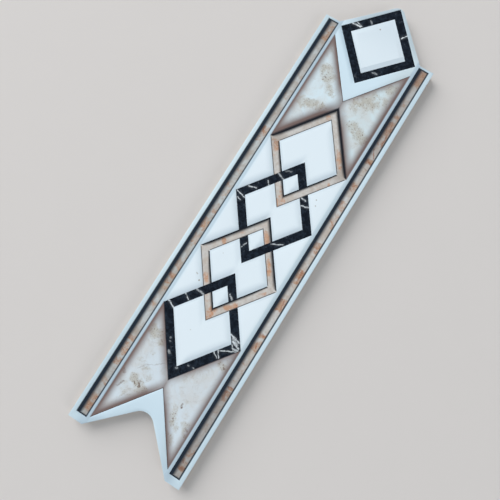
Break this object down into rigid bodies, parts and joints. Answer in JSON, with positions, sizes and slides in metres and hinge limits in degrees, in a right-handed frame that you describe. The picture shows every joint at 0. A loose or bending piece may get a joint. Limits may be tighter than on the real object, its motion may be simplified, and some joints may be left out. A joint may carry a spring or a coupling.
{
  "type": "border tile",
  "caption": "Long glazed ceramic border tile with a pointed end, a matching notched end, interlaced diamond frames in low relief and marbled border strips.",
  "frame": {"origin": "on the back, under the middle of the tile's overall length and width", "axes": "+Y along the tile towards its point, +Z out of the decorated face, +X across the tile"},
  "size_m": [0.1, 0.4131, 0.009],
  "materials": {
    "glazed_tile": "gloss"
  },
  "bodies": {
    "root": {"border_tile": "glazed_tile"}
  },
  "joints": []
}
